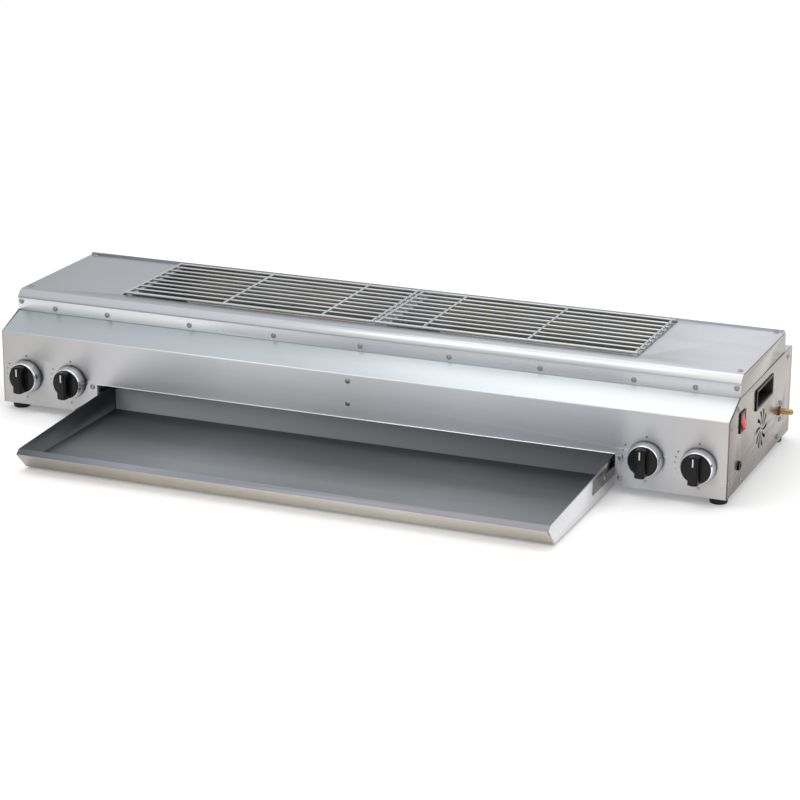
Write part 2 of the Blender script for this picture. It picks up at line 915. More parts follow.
def rounded(section: Section, radius: float, steps: int) -> list[Pair]:
    """Round the inner corners of an open section.

    Args:
        section: Corner points.
        radius: Radius of the corners, less on short sides.
        steps: Facets of a corner.

    Returns:
        The points of the rounded section.
    """
    points = [Vector(p) for p in section]
    out = [tuple(points[0])]
    for before, corner, after in zip(points, points[1:], points[2:]):
        back, on = before - corner, after - corner
        reach = min(radius, back.length * HALF_SIDE, on.length * HALF_SIDE)
        start, end = corner + back.normalized() * reach, corner + on.normalized() * reach
        for t in (i / steps for i in range(steps + 1)):
            out.append(tuple(start * (1 - t) ** 2 + corner * 2 * t * (1 - t) + end * t**2))
    return out + [tuple(points[-1])]


def block(low: Point, high: Point) -> Mesh:
    """Make a plain box.

    Args:
        low: Its lowest corner.
        high: Its highest corner.

    Returns:
        The new mesh.
    """
    work = bmesh.new()
    low, high = Vector(low), Vector(high)
    place = Matrix.LocRotScale((low + high) / 2, None, high - low)
    bmesh.ops.create_cube(work, size=1.0, matrix=place)
    return poured(work, "block")


def joined(meshes: Sequence[Mesh]) -> Mesh:
    """Join meshes into one.

    Args:
        meshes: Meshes in place.

    Returns:
        The joined mesh.
    """
    work = bmesh.new()
    for mesh in meshes:
        work.from_mesh(mesh)
    return poured(work, "joined")


class NodeBuild(Graph):
    """A geometry node tree made in script, with named sizes as its inputs."""

    def __init__(self, name: str, sizes: dict[str, float]) -> None:
        """Open a tree with a geometry input and output.

        Args:
            name: Name of the tree.
            sizes: Named inputs with the values that the modifier gets.
        """
        super().__init__(bpy.data.node_groups.new(name, "GeometryNodeTree"))
        self.tree.is_modifier = True
        face = self.tree.interface
        for way in ("INPUT", "OUTPUT"):
            face.new_socket("Geometry", in_out=way, socket_type="NodeSocketGeometry")
        self.values: dict[str, float] = {}
        for label, value in sizes.items():
            kind = "NodeSocketInt" if isinstance(value, int) else "NodeSocketFloat"
            socket = face.new_socket(label, in_out="INPUT", socket_type=kind)
            self.values[socket.identifier] = value
        self.start = add_node(self.tree, "NodeGroupInput").outputs

    def put(self, worker: Object) -> None:
        """Add the tree as a modifier and set its sizes by their identifiers.

        Args:
            worker: Object that gets the modifier.
        """
        modifier = worker.modifiers.new("pattern", "NODES")
        modifier.node_group = self.tree
        for identifier, value in self.values.items():
            modifier[identifier] = value

    def run(self, geometry: Socket, mesh: Mesh, look: Material) -> Mesh:
        """Close the tree, run it on a mesh and return the plain result.

        Args:
            geometry: Geometry socket with the finished instances.
            mesh: Mesh that the tree reads.
            look: Material of the result.

        Returns:
            The new mesh.
        """
        real = self.add("GeometryNodeRealizeInstances", {0: geometry})
        dressed = self.add("GeometryNodeSetMaterial", {0: real, "Material": look})
        add_node(self.tree, "NodeGroupOutput", {0: dressed})
        return applied(mesh, self.put)


def marked_points(points: Run, aims: Run) -> Mesh:
    """Make loose vertices that each carry a direction.

    Args:
        points: Places.
        aims: Unit vectors, stored as the attribute aim.

    Returns:
        The new mesh.
    """
    mesh = bpy.data.meshes.new("points")
    mesh.from_pydata(list(points), [], [])
    layer = mesh.attributes.new("aim", "FLOAT_VECTOR", "POINT")
    for item, aim in zip(layer.data, aims):
        item.vector = aim
    return mesh


def strands(runs: Sequence[Run]) -> Mesh:
    """Make separate chains of edges.

    Args:
        runs: Points of each chain in their order.

    Returns:
        The new mesh.
    """
    mesh = bpy.data.meshes.new("strands")
    points: list[Point] = []
    edges: list[tuple[int, int]] = []
    for run in runs:
        edges += [(len(points) + i, len(points) + i + 1) for i in range(len(run) - 1)]
        points += run
    mesh.from_pydata(points, edges, [])
    return mesh


def bars(
    name: str, runs: Sequence[Run], look: Material, wide: float, deep: float | None = None
) -> Mesh:
    """Bars along chains of points, by geometry nodes.

    Args:
        name: Name of the tree.
        runs: Points of each bar in their order.
        look: Material of the bars.
        wide: Radius of round bars, or width of flat ones.
        deep: Thickness of flat bars; None makes round ones.

    Returns:
        The mesh of all bars.
    """
    if deep is None:
        build = NodeBuild(name, {"Cord radius": wide})
        sizes = {"Resolution": CORD_SIDES, "Radius": build.start["Cord radius"]}
        outline = build.add("GeometryNodeCurvePrimitiveCircle", sizes)
    else:
        build = NodeBuild(name, {"Bar width": wide, "Bar depth": deep})
        sizes = {"Width": build.start["Bar depth"], "Height": build.start["Bar width"]}
        kind = "GeometryNodeCurvePrimitiveQuadrilateral"
        outline = build.add(kind, {"mode": "RECTANGLE", **sizes})
    swept = {"Curve": build.add("GeometryNodeMeshToCurve", {0: build.start[0]})}
    swept |= {"Profile Curve": outline, "Fill Caps": True}
    return build.run(build.add("GeometryNodeCurveToMesh", swept), strands(runs), look)


@dataclass
class Casing:
    """Cover, front panel, end panels, rear panel and the inner sheets."""

    shop: Shop
    sheet: Rounding = Rounding(0.35)
    # The front panel is bent below and above its sloping strip
    front: Rounding = Rounding(0.35, ((-178.0, 130.6), (-124.0, 152.2)), 1.6, 3)
    # The end panels have many slots and holes in one flat face
    punched: Rounding = Rounding(0.35, dissolve=False)
    half_w: float = 600.0 * MM
    # Radii of the cords that draw an open joint and the mouth's hem
    joint: float = 0.7 * MM
    hem: float = 0.8 * MM
    # (Y, Z) in millimetres: the joint round an end panel and the one under the cover's top
    seams: tuple[Section, ...] = (
        ((-177.1, 12.9), (-177.1, 130.4), (-124.4, 152.0), (130.6, 152.0)),
        ((-109.0, 184.2), (123.0, 184.2)),
    )
    # Ends of the mouth's upper edge in millimetres
    mouth: Run = ((-429.0, -178.0, 61.3), (429.0, -178.0, 61.3))
    # Middle and radius of the fan vent; faces turned further from X are walls of its slots
    vent: Pair = (6.2 * MM, 67.0 * MM)
    vent_r: float = 31.0 * MM
    wall_cosine: float = 0.95
    cover_facings: tuple[Facing, ...] = (
        ((1, 0, 0), 0.9, "end"),
        ((-1, 0, 0), 0.9, "end"),
        ((0, -1, 0), 0.995, "band"),
        ((0, -0.7, 0.7), 0.87, "fold"),
    )
    front_facings: tuple[Facing, ...] = (((0, -0.371, 0.928), 0.98, "slope"),)

    def joints(self) -> list[Run]:
        """Open joints on both ends.

        Returns:
            Points of each joint.
        """
        reach = self.half_w - self.joint / 2
        sides = (-reach, reach)
        return [[(x, y, z) for y, z in metres(seam)] for x in sides for seam in self.seams]

    def shade_vent(self, mesh: Mesh) -> None:
        """Give the punched walls of the vent's slots the look of an open joint.

        Args:
            mesh: Mesh of an end sheet.
        """
        mesh.materials.append(self.shop.material("joint"))
        for face in mesh.polygons:
            off = Vector(face.center.yz) - Vector(self.vent)
            is_wall = abs(face.normal.x) < self.wall_cosine
            if off.length < self.vent_r and is_wall and face.center.x > 0:
                face.material_index = 1

    def build(self) -> None:
        """Make the outer sheets with soft bends and dress the inner ones."""
        shop, slot = self.shop, "brushed_sheet"
        for name, runs, radius, finish in (
            ("end_joints", self.joints(), self.joint, "joint"),
            ("mouth_hem", [metres(self.mouth)], self.hem, "edge"),
        ):
            cord = bars(f"{name}_cord", runs, shop.material(finish), radius)
            shop.finish_piece(name, cord, "casing", finish, slot=slot)
        shop.soften(
            Part(
                "cover_sheet", "top_cover", "cover", slot, self.sheet, smooth=40,
                facings=self.cover_facings,
            ),
            Part(
                "front_sheet", "front_panel", "panel", slot, self.front, smooth=50,
                facings=self.front_facings,
            ),
        )
        for end in shop.soften(
            Part("right_end_sheet", "right_end_panel", "end", slot, self.punched),
            Part("left_end_sheet", "left_end_panel", "end", slot, self.punched),
        ):
            self.shade_vent(end.data)
        shop.soften(Part("rear_sheet", "rear_panel", "cover", slot, self.sheet, smooth=40))
        shop.dress(("base_pans", "partition_left", "partition_right"), "inner")


@dataclass
class Firebox:
    """Firebox walls, burners with their tiles and the diamond-mesh guards."""

    shop: Shop
    # A guard is as large as the tiled face of its burner, which leans by so many degrees
    half_long: float = 175.0 * MM
    half_tall: float = 31.0 * MM
    lean: float = 25.0
    # Middles of the four faces, and how far the guards stand off them
    burner_x: float = 225.0 * MM
    face_z: float = 105.0 * MM
    rear_face_y: float = 80.0 * MM
    front_face_y: float = -40.6 * MM
    gap: float = 8.5 * MM
    # Openings of expanded mesh are 8 by 4 mm; drawn 9 by 6 so that each shows
    pitch: float = 9.0 * MM
    rise: float = 0.62
    # Height of the shortest strand, in pitches
    shortest: float = 0.4
    # Width and thickness of the strands, of the rim and of the pegs that carry it
    strand: Pair = (2.2 * MM, 0.9 * MM)
    border: Pair = (4.0 * MM, 1.0 * MM)
    peg: Pair = (3.0 * MM, 3.0 * MM)

    def place(self, u: float, w: float, side: int, rear: bool, out: float) -> Point:
        """Point on a guard's leaning plane.

        Args:
            u: Place along the burner from its middle.
            w: Place up the leaning face from its middle.
            side: -1 for the left burner, 1 for the right one.
            rear: True for the rear burners.
            out: Distance in front of the burner's face.

        Returns:
            The point in the grill's frame.
        """
        lean = math.radians(self.lean)
        turn = 1 if rear else -1
        up = Vector((0, turn * math.sin(lean), math.cos(lean)))
        forth = Vector((0, -turn * math.cos(lean), math.sin(lean)))
        y = self.rear_face_y if rear else self.front_face_y
        return tuple(Vector((side * self.burner_x + u, y, self.face_z)) + up * w + forth * out)

    def lattice(self, long: float, tall: float) -> list[tuple[Pair, Pair]]:
        """Diagonal strands of a guard, cut to its rectangle.

        Args:
            long: Half of the rectangle's length.
            tall: Half of its height.

        Returns:
            Start and end of each strand on the guard's plane.
        """
        reach = 2 * tall / self.rise
        runs = []
        for way in (1, -1):
            for i in range(int((2 * long + reach) / self.pitch) + 1):
                foot = i * self.pitch - long - reach
                heights = (way * ((x - foot) * self.rise - tall) for x in (-long, long))
                low, high = sorted(max(-tall, min(tall, w)) for w in heights)
                if high - low >= self.shortest * self.pitch:
                    strand = ((foot + (way * w + tall) / self.rise, w) for w in (low, high))
                    runs.append(tuple(strand))
        return runs

    def guard(self, rear: bool) -> None:
        """Make the mesh guards of one pair of burners.

        Args:
            rear: True for the rear pair.
        """
        u, w = self.half_long - self.border[0] / 2, self.half_tall - self.border[0] / 2
        corners = [(-u, -w), (u, -w), (u, w), (-u, w)]
        flat = {
            "strands": self.lattice(u, w),
            "rims": list(zip(corners, corners[1:] + corners[:1])),
            "pegs": list(zip(corners, corners)),
        }
        sizes = {"strands": self.strand, "rims": self.border, "pegs": self.peg}
        parts = []
        for kind, lines in flat.items():
            near = 0.0 if kind == "pegs" else self.gap
            runs = [
                tuple(self.place(*at, side, rear, out) for at, out in ((a, near), (b, self.gap)))
                for side in (-1, 1)
                for a, b in lines
            ]
            parts.append(bars(f"mesh_{kind}", runs, self.shop.material("mesh"), *sizes[kind]))
        name = "rear" if rear else "front"
        self.shop.finish_piece(
            f"mesh_guard_{name}", joined(parts), "casing", "mesh", (f"guard_{name}",),
            "burner_steel",
        )

    def build(self) -> None:
        """Make the guards and dress walls, ledges, burners and tiles."""
        burners = [f"burner_{a}_{b}" for a in ("front", "rear") for b in ("left", "right")]
        for nodes, finish in (
            (("firebox_front", "firebox_rear"), "heated"),
            (("grate_ledges", "centre_bar"), "cover"),
            (burners, "burner"),
            (("tiles_front",), "ceramic_front"),
            (("tiles_rear",), "ceramic_rear"),
        ):
            self.shop.dress(nodes, finish)
        self.guard(rear=True)
        self.guard(rear=False)


@dataclass
class Grates:
    """The two lift-off wire grates: long rods welded on cross rods."""

    shop: Shop
    # Diameters of the rods and facets round one
    rod: float = 4.0 * MM
    front_rod: float = 5.0 * MM
    sides: int = 16
    # The long rods behind the front one
    pitch: float = 21.0 * MM
    count: int = 9
    first_y: float = -52.7 * MM
    front_y: float = -79.0 * MM
    rod_z: float = 187.5 * MM
    # The cross rods, nearly flush with the long ones, and how far they pass them, in rods
    cross_z: float = 188.4 * MM
    past: float = 1 / 3
    # The grates meet a little to the right of the middle
    meet_x: float = 5.2 * MM
    meet_gap: float = 0.5 * MM
    inner_in: float = 4.6 * MM
    outer_x: float = 425.0 * MM
    poke: float = 4.0 * MM
    cross_shares: Pair = (0.2, 0.6)
    # Weld bead at each crossing and its depth under the cross rod's middle, in rods
    bead: float = 0.42
    bead_depth: float = 0.44

    def rods(self, side: int) -> Mesh:
        """One grate, by geometry nodes.

        Args:
            side: -1 for the left grate, 1 for the right one.

        Returns:
            The mesh of its rods.
        """
        sizes = {
            "Rod count": self.count,
            "Rod pitch": self.pitch,
            "Rod diameter": self.rod,
            "Front rod diameter": self.front_rod,
        }
        build = NodeBuild(f"grate_rods_{side}", sizes)
        size = build.start

        def bar(start: Point, end: Point, label: str) -> Socket:
            """Round rod of a named diameter between two points.

            Args:
                start: One end.
                end: Other end.
                label: Name of the diameter.

            Returns:
                The mesh socket.
            """
            path = build.add("GeometryNodeCurvePrimitiveLine", {"Start": start, "End": end})
            half = build.add("ShaderNodeMath", {"operation": "MULTIPLY", 0: size[label], 1: 0.5})
            circle = {"Resolution": self.sides, "Radius": half}
            outline = build.add("GeometryNodeCurvePrimitiveCircle", circle)
            swept = {"Curve": path, "Profile Curve": outline, "Fill Caps": True}
            return build.add("GeometryNodeCurveToMesh", swept)

        inner, outer = self.meet_x + side * self.meet_gap, side * (self.outer_x + self.poke)
        left, right = min(inner, outer), max(inner, outer)
        front_z = self.rod_z + (self.front_rod - self.rod) / 2
        last_y = self.first_y + (self.count - 1) * self.pitch
        past = self.rod * self.past
        front = bar(
            (left, self.front_y, front_z), (right, self.front_y, front_z), "Front rod diameter"
        )
        long = bar((left, 0.0, 0.0), (right, 0.0, 0.0), "Rod diameter")
        cross = bar((0.0, self.front_y - past, 0.0), (0.0, last_y + past, 0.0), "Rod diameter")
        step = build.add("ShaderNodeCombineXYZ", {1: size["Rod pitch"]})
        line = {"mode": "OFFSET", "Start Location": (0.0, self.first_y, self.rod_z)}
        line |= {"Count": size["Rod count"], "Offset": step}
        row = build.add("GeometryNodeMeshLine", line)
        round_bead = {"Radius": self.rod * self.bead, "Subdivisions": BALL_SPLITS}
        ball = build.add("GeometryNodeMeshIcoSphere", round_bead)
        kind = "GeometryNodeInstanceOnPoints"
        rods = build.add(kind, {"Points": row, "Instance": long})
        crosses = build.add(kind, {"Points": size[0], "Instance": cross})
        beads = build.add(kind, {"Points": row, "Instance": ball})
        beads = build.add(kind, {"Points": size[0], "Instance": beads})
        sunk = (0.0, 0.0, -self.rod_z - self.rod * self.bead_depth)
        beads = build.add("GeometryNodeTransform", {0: beads, "Translation": sunk})
        grate = build.add("GeometryNodeJoinGeometry", {0: [rods, front, crosses, beads]})
        crossings = [self.meet_x + side * self.inner_in, side * self.outer_x]
        crossings += [side * share * self.outer_x for share in self.cross_shares]
        start = marked_points([(x, 0.0, self.cross_z) for x in crossings], ())
        return build.run(grate, start, self.shop.material("wire"))

    def build(self) -> None:
        """Make both grates."""
        for side, name in ((-1, "grate_left"), (1, "grate_right")):
            self.shop.finish_piece(
                f"wire_{name}", self.rods(side), name, "wire", (name,), "grate_wire", smooth=50
            )


@dataclass
class DripTray:
    """Drip tray: folded sheet with a lip, welded corners and its runners."""

    shop: Shop
    # Folds: the fascia's crease, the lip's edge and both ends of the floor
    sheet: Rounding = Rounding(
        0.4, ((-448.3, 30.4), (-439.5, 37.0), (-412.7, 10.2), (-137.2, 10.2)), 1.5, 3
    )
    strips: Rounding = Rounding(0.4)
    bead: float = 1.1 * MM
    bead_step: float = 1.6 * MM
    # X, then Y and Z of both ends, in millimetres: outside and inside of the front corners
    # and inside of the rear ones
    seams: Sequence[tuple[float, ...]] = (
        (420.6, -447.1, 30.0, -420.2, 4.4),
        (419.9, -437.0, 33.8, -412.7, 10.2),
        (419.9, -137.5, 11.2, -137.5, 50.0),
    )
    facings: tuple[Facing, ...] = (
        ((0, -0.707, -0.707), 0.8, "fascia"),
        ((0, -0.6, 0.8), 0.93, "lip"),
        ((0, -1, 0), 0.95, "tray_back"),
        ((1, 0, 0), 0.9, "tray_side"),
        ((-1, 0, 0), 0.9, "tray_side"),
    )

    def welds(self) -> Mesh:
        """Ground weld beads in the tray's corners, by geometry nodes.

        Returns:
            The mesh of the beads.
        """
        build = NodeBuild("weld_beads", {"Bead radius": self.bead})
        path = build.add("GeometryNodeMeshToCurve", {0: build.start[0]})
        steps = {"mode": "LENGTH", "Length": self.bead_step, 0: path}
        points = build.add("GeometryNodeResampleCurve", steps)
        round_bead = {"Radius": build.start["Bead radius"], "Subdivisions": BALL_SPLITS}
        ball = build.add("GeometryNodeMeshIcoSphere", round_bead)
        beads = build.add("GeometryNodeInstanceOnPoints", {"Points": points, "Instance": ball})
        runs = [
            ((side * x, y0, z0), (side * x, y1, z1))
            for side in (-1, 1)
            for x, y0, z0, y1, z1 in metres(self.seams)
        ]
        return build.run(beads, strands(runs), self.shop.material("weld"))

    def build(self) -> None:
        """Make the tray sheet, its welds and its runners."""
        shop = self.shop
        shop.soften(
            Part(
                "tray_sheet", "drip_tray", "tray", "tray_sheet", self.sheet, "tray", 50,
                self.facings,
            )
        )
        shop.finish_piece("tray_welds", self.welds(), "tray", "weld", slot="tray_sheet")
        shop.soften(
            Part("tray_runner_strips", "tray_runners", "end", "brushed_sheet", self.strips, "tray")
        )
        shop.dress(("tray_rails",), "inner")


@dataclass
class Knobs:
    """Four push-and-turn knobs with chrome bezels and printed dial marks."""

    shop: Shop
    places: tuple[float, ...] = (-557.0 * MM, -477.0 * MM, 477.0 * MM, 557.0 * MM)
    z: float = 60.5 * MM
    panel_y: float = -178.0 * MM
    grip: Rounding = Rounding(0.9, segments=3)
    # The bezel in millimetres: radius and height over the panel of its foot, radius and share
    # of its height of its waist, radius and depth under its top of its rim, then its floor
    foot: Section = ((27.3, 0.0), (27.5, 0.6), (27.5, 3.2))
    waist: Pair = (25.9, 0.55)
    rim: Section = ((24.7, 2.4), (23.6, 0.4), (23.1, 0.0), (22.75, 0.2), (22.5, 0.9))
    floor: Section = ((22.5, 2.0), (6.5, 2.0), (6.5, 0.0))
    bezel_round: float = 0.8 * MM
    round_steps: int = 3
    bezel_steps: int = 72
    # Half width, foot over the knob's middle, end under its top, thickness and depth
    pointer_half: float = 0.95 * MM
    pointer_low: float = 7.6 * MM
    pointer_end: float = 2.4 * MM
    pointer_thick: float = 0.8 * MM
    pointer_in: float = 0.12 * MM
    # Reach from the knob's middle and radius of the marks; the left ones grow with the flame
    ink_t: float = 0.05 * MM
    dot: Pair = (33.0 * MM, 1.5 * MM)
    flames: int = 5
    flame_reach: float = 36.0 * MM
    flame_turn: float = math.radians(14)
    flame_r: Pair = (0.5 * MM, 0.22 * MM)
    ring: Point = (35.0 * MM, 2.0 * MM, 1.3 * MM)
    # Facets round a dot, a flame mark and a ring
    dot_steps: int = 16
    flame_steps: int = 12
    ring_steps: int = 20

    def bezel(self, x: float, like: str) -> Mesh:
        """Pressed bezel with rounded rim and foot.

        Args:
            x: Place of the knob.
            like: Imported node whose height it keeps.

        Returns:
            The new mesh.
        """
        height = (self.panel_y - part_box(like)[0][1]) / MM
        waist = (self.waist[0], height * self.waist[1])
        rim = [(radius, height - depth) for radius, depth in self.rim]
        corners = metres([*self.foot, waist, *rim, *self.floor])
        section = [(r, -a) for r, a in rounded(corners, self.bezel_round, self.round_steps)]
        return lathe(section, Axis.Y, (x, self.panel_y, self.z), self.bezel_steps)

    def spot(self, x: float, z: float, radius: float, hole: float, steps: int) -> Mesh:
        """Printed dot on the panel, or a ring where there is a hole.

        Args:
            x: Place across the panel.
            z: Height on the panel.
            radius: Radius of the dot.
            hole: Radius of the hole.
            steps: Facets round the dot.

        Returns:
            The new mesh.
        """
        t = -self.ink_t
        section = [(hole, 0.0), (radius, 0.0), (radius, t), (hole, t)]
        return lathe(section, Axis.Y, (x, self.panel_y, z), steps)

    def marks(self) -> Mesh:
        """Printed dot, flame and ring marks round every knob.

        Returns:
            The mesh of the marks.
        """
        parts = []
        for x in self.places:
            reach, radius = self.dot
            parts.append(self.spot(x, self.z + reach, radius, 0.0, self.dot_steps))
            for i in range(self.flames):
                turn = self.flame_turn * (i - self.flames // 2)
                px = x - self.flame_reach * math.cos(turn)
                pz = self.z + self.flame_reach * math.sin(turn)
                radius = self.flame_r[0] + self.flame_r[1] * i
                parts.append(self.spot(px, pz, radius, 0.0, self.flame_steps))
            reach, radius, hole = self.ring
            parts.append(self.spot(x, self.z - reach, radius, hole, self.ring_steps))
        return joined(parts)

    def pointer(self, x: float, node: str) -> Mesh:
        """White fill of the pointer groove.

        Args:
            x: Place of the knob.
            node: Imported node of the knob.

        Returns:
            The new mesh.
        """
        low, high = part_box(node)
        half, front = self.pointer_half, low[1] + self.pointer_in
        return block(
            (x - half, front, self.z + self.pointer_low),
            (x + half, front + self.pointer_thick, high[2] - self.pointer_end),
        )

    def build(self) -> None:
        """Make knobs, bezels and marks and dress collars and spindles."""
        shop = self.shop
        for i, x in enumerate(self.places, 1):
            knob, bezel, turn = f"knob_{i}", f"bezel_{i}", f"turn_{i}"
            shop.soften(Part(f"dial_{knob}", knob, "knob", "knob_black", self.grip, turn, 45))
            line = self.pointer(x, knob)
            shop.finish_piece(f"pointer_line_{i}", line, turn, "white_ink", slot="knob_black")
            shop.finish_piece(
                f"chrome_{bezel}", self.bezel(x, bezel), "casing", "chrome", (bezel,), "chrome",
                smooth=50,
            )
            shop.dress((f"collar_{i}", f"spindle_{i}"), "screw")
        shop.finish_piece("dial_marks", self.marks(), "casing", "ink", slot="brushed_sheet")


@dataclass
class RightEnd:
    """Switch, vent fan, hand-holds, power inlet and hose nozzle."""

    shop: Shop
    nozzle_at: Point = (600.0 * MM, 118.5 * MM, 61.3 * MM)
    # Radius and distance from the end panel in millimetres: shoulder, one barb and the tip
    bore: float = 2.6
    shank: float = 4.8
    shoulder: Section = (
        (4.8, -1.0), (4.8, 0.0), (6.7, 0.0), (7.0, 0.3), (7.0, 1.7), (6.7, 2.0), (4.1, 2.2),
    )
    barb: Section = ((4.1, 0.6), (4.75, 0.9), (4.75, 1.3), (4.1, 4.0))
    first_barb: float = 2.4
    barb_pitch: float = 4.2
    tip: Section = ((3.5, -0.3), (3.3, 0.0), (2.6, 0.0))
    nozzle_steps: int = 40
    cup: Rounding = Rounding(0.6)
    parts: tuple[Part, ...] = (
        Part("handhold_cup_right", "handhold_right", "plastic", "black_plastic", cup),
        Part("handhold_cup_left", "handhold_left", "plastic", "black_plastic", cup),
        Part("switch_frame", "rocker_frame", "plastic", "black_plastic", Rounding(0.5)),
        Part(
            "switch_rocker", "rocker", "red", "red_plastic", Rounding(0.6, segments=3), "rocker",
            45,
        ),
        Part("inlet_socket", "power_inlet", "plastic", "black_plastic", Rounding(0.3)),
    )

    def nozzle(self) -> Mesh:
        """Barbed hose nozzle with a shoulder.

        Returns:
            The new mesh.
        """
        rear, front = ((corner[0] - self.nozzle_at[0]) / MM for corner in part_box("hose_nozzle"))
        section = [(self.bore, rear), (self.shank, rear), *self.shoulder]
        at = self.first_barb
        while at + self.barb_pitch < front:
            section += [(radius, at + along) for radius, along in self.barb]
            at += self.barb_pitch
        section += [(radius, front + along) for radius, along in self.tip]
        return lathe(metres(section), Axis.X, self.nozzle_at, self.nozzle_steps)

    def build(self) -> None:
        """Make the fittings of the right end and both hand-holds."""
        shop = self.shop
        *fittings, inlet = self.parts
        shop.soften(*fittings)
        shop.finish_piece(
            "barbed_nozzle", self.nozzle(), "casing", "brass", ("hose_nozzle",), "brass",
            smooth=40,
        )
        shop.soften(inlet)
        shop.dress(("fan_housing", "fan_impeller"), "plastic")
        shop.dress(("nozzle_plate",), "inner")


@dataclass
class GasLine:
    """Manifold, feed tubes and valves, seen only from below or with the panels off."""

    shop: Shop

    def build(self) -> None:
        """Dress the pipes and valves."""
        self.shop.dress(("manifold", "inlet_pipe"), "pipe")
        self.shop.dress(("gas_tubes", *(f"gas_valve_{i}" for i in range(1, 5))), "brass")


@dataclass
class Feet:
    """Rubber feet under the corners."""

    shop: Shop
    rim: Rounding = Rounding(1.0, segments=3)

    def build(self) -> None:
        """Make the feet with soft rims."""
        self.shop.soften(Part("rubber_feet", "feet", "rubber", "foot_rubber", self.rim))


@dataclass
class Screws:
    """Cross-head screws of the casing and of the tray's runners."""

    shop: Shop
    # Radius of a head, its height as a share of that, and facets round and up the ball
    head: float = 4.3 * MM
    dome: float = 0.5
    facets: tuple[int, int] = (24, 12)
    slot_long: float = 5.4 * MM
    slot_wide: float = 1.25 * MM
    slot_deep: float = 1.6 * MM
    # The recess's dark bottom: its top as a share of the dome's height, and its scale
    fill_share: float = 0.62
    fill_scale: Point = (0.99, 0.99, 1.0)
    # Outward directions and places in millimetres; those of a pair stand at -X too
    pairs: tuple[Aimed, ...] = (
        ((0, -1, 0), (
            (146, -124, 160.5), (292, -124, 160.5), (438, -124, 160.5), (532, -124, 160.5),
            (594, -124, 166.5), (438, -178, 56.5), (438, -178, 25.0),
        )),
        ((0, 0, 1), ((591, -97, 185), (588, 117, 185))),
        ((1, 0, 0), (
            (600, 151.7, 139.3), (600, -136.7, 138.4), (600, -172.6, 118.0),
            (600, -172.6, 35.6), (600, -104.9, 19.8), (600, 112.0, 21.0),
        )),
        ((0, 1, 0), (
            (560, 178, 117.0), (560, 178, 30.0), (280, 178, 117.0), (280, 178, 30.0),
        )),
    )
    singles: tuple[Aimed, ...] = (
        ((0, -1, 0), ((0, -124, 160.5), (2.5, -178, 120.4), (2.5, -178, 84.6))),
        ((1, 0, 0), ((600, 118.5, 74.0), (600, 118.5, 48.0))),
        ((0, 1, 0), ((0, 178, 117.0), (0, 178, 30.0))),
    )
    tray_pairs: tuple[Aimed, ...] = (((1, 0, 0), ((422.7, -203, 32),)),)

    def spots(self, groups: Sequence[Aimed], sides: Sequence[int]) -> list[tuple[Point, Point]]:
        """Places and outward directions of groups of screws.

        Args:
            groups: Direction and places of each group.
            sides: 1 for the places as they are, -1 for their mirror images.

        Returns:
            Pairs of place and direction.
        """
        return [
            ((s * x, y, z), (s * way[0], way[1], way[2]))
            for way, places in groups
            for x, y, z in metres(places)
            for s in sides
        ]

    def heads(self, spots: Sequence[tuple[Point, Point]], name: str, fill: bool) -> Mesh:
        """Domed heads with a cross recess, by geometry nodes.

        Args:
            spots: Places and outward directions.
            name: Name of the tree.
            fill: True for the dark bottoms of the recesses in place of the heads.

        Returns:
            The mesh of all heads.
        """
        sizes = {
            "Head radius": self.head,
            "Recess length": self.slot_long,
            "Recess width": self.slot_wide,
            "Recess depth": self.slot_deep,
        }
        build = NodeBuild(name, sizes)
        size = build.start
        bricks = []
        for x, y in (("Recess length", "Recess width"), ("Recess width", "Recess length")):
            parts = {0: size[x], 1: size[y], 2: size["Recess depth"]}
            extent = build.add("ShaderNodeCombineXYZ", parts)
            bricks.append(build.add("GeometryNodeMeshCube", {"Size": extent}))
        cross = build.add("GeometryNodeJoinGeometry", {0: bricks})
        height = self.head * self.dome
        if fill:
            middle = (0.0, 0.0, height * self.fill_share - self.slot_deep / 2)
            lowered = {0: cross, "Translation": middle, "Scale": self.fill_scale}
            part = build.add("GeometryNodeTransform", lowered)
        else:
            around, rings = self.facets
            sphere = {"Segments": around, "Rings": rings, "Radius": size["Head radius"]}
            ball = build.add("GeometryNodeMeshUVSphere", sphere)
            flattened = {0: ball, "Scale": (1.0, 1.0, self.dome)}
            lifted = {0: cross, "Translation": (0.0, 0.0, height)}
            cut = {"operation": "DIFFERENCE", "solver": "EXACT", "Self Intersection": True}
            cut["Mesh 1"] = build.add("GeometryNodeTransform", flattened)
            cut["Mesh 2"] = build.add("GeometryNodeTransform", lifted)
            part = build.add("GeometryNodeMeshBoolean", cut)
        stored = {"data_type": "FLOAT_VECTOR", 0: "aim"}
        aim = build.add("GeometryNodeInputNamedAttribute", stored)
        turn = build.add("FunctionNodeAlignRotationToVector", {"axis": "Z", "Vector": aim})
        placed = {"Points": size[0], "Instance": part, "Rotation": turn}
        screws = build.add("GeometryNodeInstanceOnPoints", placed)
        points, aims = zip(*spots)
        look = self.shop.material("joint" if fill else "screw")
        return build.run(screws, marked_points(points, aims), look)

    def build(self) -> None:
        """Place the screws on the casing and on the tray."""
        both = (-1, 1)
        casing = self.spots(self.pairs, both) + self.spots(self.singles, (1,))
        for body, spots in (("casing", casing), ("tray", self.spots(self.tray_pairs, both))):
            for part, fill, finish in (("heads", False, "screw"), ("recesses", True, "joint")):
                name = f"{body}_screw_{part}"
                mesh = self.heads(spots, name, fill)
                self.shop.finish_piece(name, mesh, body, finish, slot="brushed_sheet")


